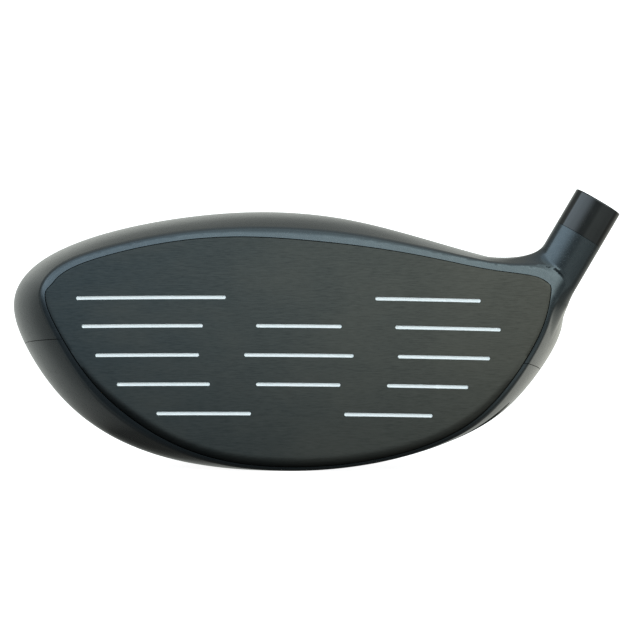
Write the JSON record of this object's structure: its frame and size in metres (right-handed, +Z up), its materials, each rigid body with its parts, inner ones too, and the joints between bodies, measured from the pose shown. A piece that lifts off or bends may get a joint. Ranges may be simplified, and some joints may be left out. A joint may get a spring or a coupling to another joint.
{
  "type": "golf driver head",
  "caption": "Hollow right-handed golf driver head with a scored striking face, a hosel that holds a removable shaft adapter, and a screw-in rear weight.",
  "frame": {"origin": "on the ground under the middle of the head's bounding box, with the head soled on its flat rest", "axes": "+Z up from the ground, -Y the way the face looks, +X towards the heel and the shaft"},
  "size_m": [0.1458, 0.11, 0.0668],
  "materials": {
    "charcoal_paint": "gloss metallic",
    "brushed_face": "dark brushed",
    "cast_titanium": "as cast",
    "black_aluminium": "black anodised",
    "black_gloss": "gloss",
    "steel": "satin",
    "weight_metal": "satin",
    "rubber": "matt",
    "nylon": "matt",
    "hot_melt": "satin",
    "badge_metal": "satin"
  },
  "bodies": {
    "head": {"crown_shell": "charcoal_paint", "sole_shell": "charcoal_paint", "face_plate": "brushed_face", "hosel_tube": "cast_titanium", "hosel_insert": "black_aluminium", "hosel_screw_ring": "rubber", "rear_weight_port": "cast_titanium", "sole_badge": "badge_metal", "sole_rib_front": "cast_titanium", "sole_rib_middle": "cast_titanium", "sole_rib_long": "cast_titanium", "crown_brace_heel": "cast_titanium", "crown_brace_toe": "cast_titanium", "hot_melt_slug": "hot_melt"},
    "sleeve": {"adapter_sleeve": "black_aluminium", "ferrule_collar": "black_gloss"},
    "hosel_screw_washer": {"hosel_screw_washer": "nylon"},
    "hosel_screw": {"hosel_screw": "steel"},
    "rear_weight_washer": {"rear_weight_washer": "rubber"},
    "rear_weight": {"rear_weight": "weight_metal"}
  },
  "joints": [
    {"name": "sleeve_lift", "type": "slide", "parent": "head", "child": "sleeve", "axis": [0.5075, 0, 0.8616], "range_m": [0, 0.034]},
    {"name": "hosel_screw_travel", "type": "slide", "parent": "head", "child": "hosel_screw_washer", "axis": [-0.5075, 0, -0.8616], "range_m": [0, 0.008]},
    {"name": "hosel_screw_turn", "type": "hinge", "parent": "hosel_screw_washer", "child": "hosel_screw", "pos_m": [0.04493, -0.03469, 0.02503], "axis": [-0.5075, 0, -0.8616], "range_deg": [0, 3600]},
    {"name": "rear_weight_travel", "type": "slide", "parent": "head", "child": "rear_weight_washer", "axis": [0.0231, 0.3974, -0.9174], "range_m": [0, 0.005]},
    {"name": "rear_weight_turn", "type": "hinge", "parent": "rear_weight_washer", "child": "rear_weight", "pos_m": [-0.00608, 0.03313, 0.00715], "axis": [0.0231, 0.3974, -0.9174], "range_deg": [0, 1800]}
  ],
  "couplings": [
    {"joint": "hosel_screw_turn", "follows": "hosel_screw_travel", "rad_per_m": 7854},
    {"joint": "rear_weight_turn", "follows": "rear_weight_travel", "rad_per_m": 6283.2}
  ]
}
